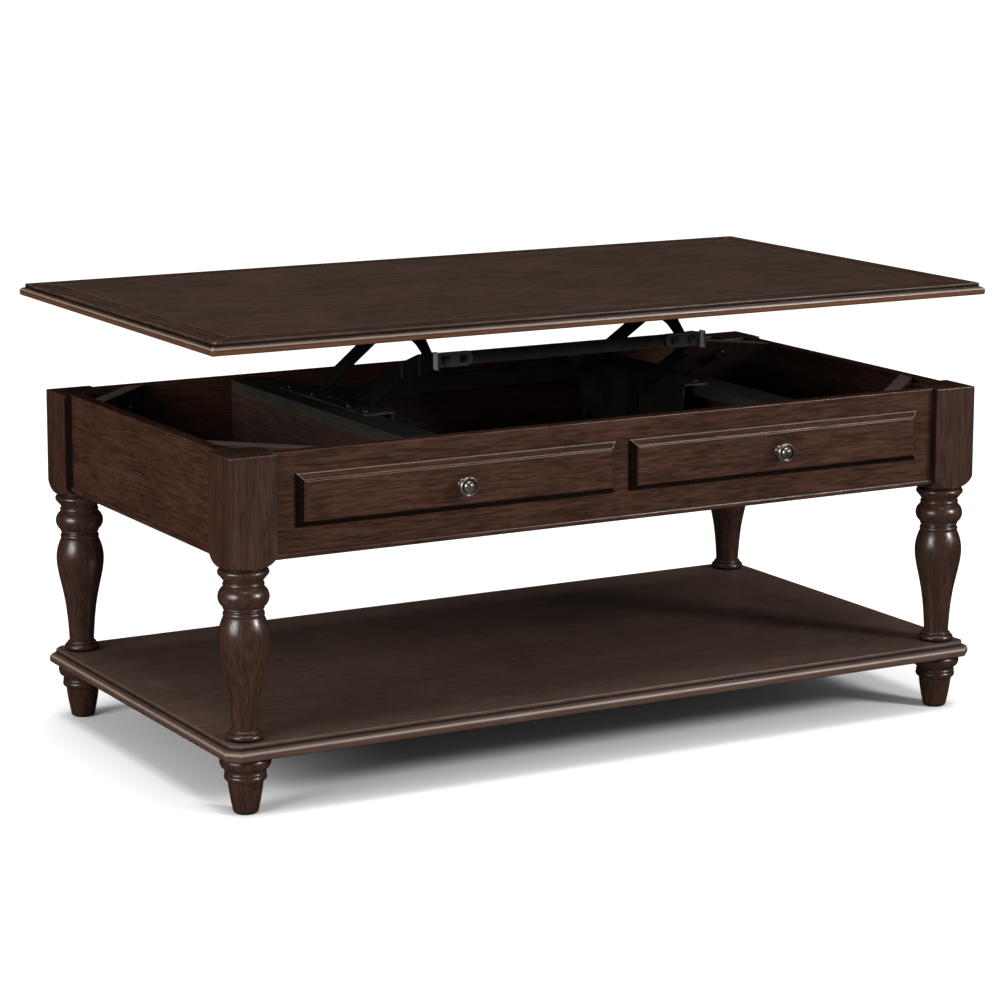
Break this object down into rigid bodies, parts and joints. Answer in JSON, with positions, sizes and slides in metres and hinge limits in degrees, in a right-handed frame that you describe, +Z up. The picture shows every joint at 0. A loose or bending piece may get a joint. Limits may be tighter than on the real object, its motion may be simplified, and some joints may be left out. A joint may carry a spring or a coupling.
{
  "type": "lift top coffee table",
  "caption": "Dark wood lift top coffee table shown raised: a rectangular top on coupled steel lift arms over an open compartment, false drawer fronts, turned legs and a lower shelf.",
  "frame": {"origin": "on the floor, under the middle of the bounding box of the table with its top raised", "axes": "+X to the right along the table's length seen from the front (the side with the knobs), +Y from the front to the back, +Z up"},
  "size_m": [1.27, 0.7172, 0.6507],
  "materials": {
    "stained_wood": "dark espresso stain, satin lacquer",
    "stained_wood_top": "dark espresso stained veneer, satin lacquer",
    "stained_wood_border": "dark espresso stained solid wood, satin lacquer",
    "raw_wood": "thinly stained, dull",
    "stained_board": "stained board, matt",
    "lift_steel": "black paint, satin",
    "antique_pewter": "antique pewter, darkened in the grooves",
    "zinc_steel": "zinc plated",
    "rivet_steel": "dark plated",
    "spring_steel": "oiled wire"
  },
  "bodies": {
    "leg_frame": {"apron_front": "stained_wood", "apron_left": "stained_wood", "apron_rear": "stained_wood", "apron_right": "stained_wood", "base_bracket_left": "lift_steel", "base_bracket_right": "lift_steel", "base_pivot_pins": "rivet_steel", "bead_front": "stained_wood", "bead_rear": "stained_wood", "bead_sides": "stained_wood", "brace_bolts": "zinc_steel", "brace_nuts": "zinc_steel", "case_screws": "zinc_steel", "compartment_floor": "stained_board", "corner_brace_front_left": "raw_wood", "corner_brace_front_right": "raw_wood", "corner_brace_rear_left": "raw_wood", "corner_brace_rear_right": "raw_wood", "divider_cleats": "raw_wood", "divider_left": "stained_wood", "divider_right": "stained_wood", "drawer_front_left": "stained_wood", "drawer_front_right": "stained_wood", "floor_cleats": "raw_wood", "foot_front_left": "stained_wood", "foot_front_right": "stained_wood", "foot_rear_left": "stained_wood", "foot_rear_right": "stained_wood", "knob_left": "antique_pewter", "knob_right": "antique_pewter", "knob_screws": "zinc_steel", "leg_front_left": "stained_wood", "leg_front_right": "stained_wood", "leg_rear_left": "stained_wood", "leg_rear_right": "stained_wood", "leg_studs": "zinc_steel", "lift_rail_left": "stained_wood", "lift_rail_right": "stained_wood", "shelf": "stained_wood", "spring_left": "spring_steel", "spring_right": "spring_steel", "tie_bar": "lift_steel", "tie_bar_bolts": "zinc_steel"},
    "front_arms": {"front_arm_left": "lift_steel", "front_arm_right": "lift_steel", "crossbar": "lift_steel", "crossbar_end_plates": "lift_steel", "crossbar_bolts": "zinc_steel", "spring_lug_pins": "rivet_steel"},
    "rear_arm_left": {"rear_arm_left": "lift_steel"},
    "rear_arm_right": {"rear_arm_right": "lift_steel"},
    "lift_top": {"top_panel": "stained_wood_top", "top_border_front": "stained_wood_border", "top_border_rear": "stained_wood_border", "top_border_left": "stained_wood_border", "top_border_right": "stained_wood_border", "top_bracket_left": "lift_steel", "top_bracket_right": "lift_steel", "top_bracket_screws": "zinc_steel", "knee_pins": "rivet_steel"}
  },
  "joints": [
    {"name": "lift_hinge", "type": "hinge", "parent": "leg_frame", "child": "front_arms", "pos_m": [0, 0.03623, 0.464], "axis": [1, 0, 0], "range_deg": [0, 37.7], "deforming": ["spring_left", "spring_right"]},
    {"name": "top_pivot", "type": "hinge", "parent": "front_arms", "child": "lift_top", "pos_m": [0, -0.14959, 0.57215], "axis": [1, 0, 0], "range_deg": [-37.7, 0]},
    {"name": "rear_arm_left_pivot", "type": "hinge", "parent": "leg_frame", "child": "rear_arm_left", "pos_m": [-0.232, 0.17273, 0.4835], "axis": [1, 0, 0], "range_deg": [0, 37.7]},
    {"name": "rear_arm_right_pivot", "type": "hinge", "parent": "leg_frame", "child": "rear_arm_right", "pos_m": [0.232, 0.17273, 0.4835], "axis": [1, 0, 0], "range_deg": [0, 37.7]}
  ],
  "couplings": [
    {"joint": "top_pivot", "follows": "lift_hinge", "ratio": -1},
    {"joint": "rear_arm_left_pivot", "follows": "lift_hinge", "ratio": 1},
    {"joint": "rear_arm_right_pivot", "follows": "lift_hinge", "ratio": 1}
  ]
}
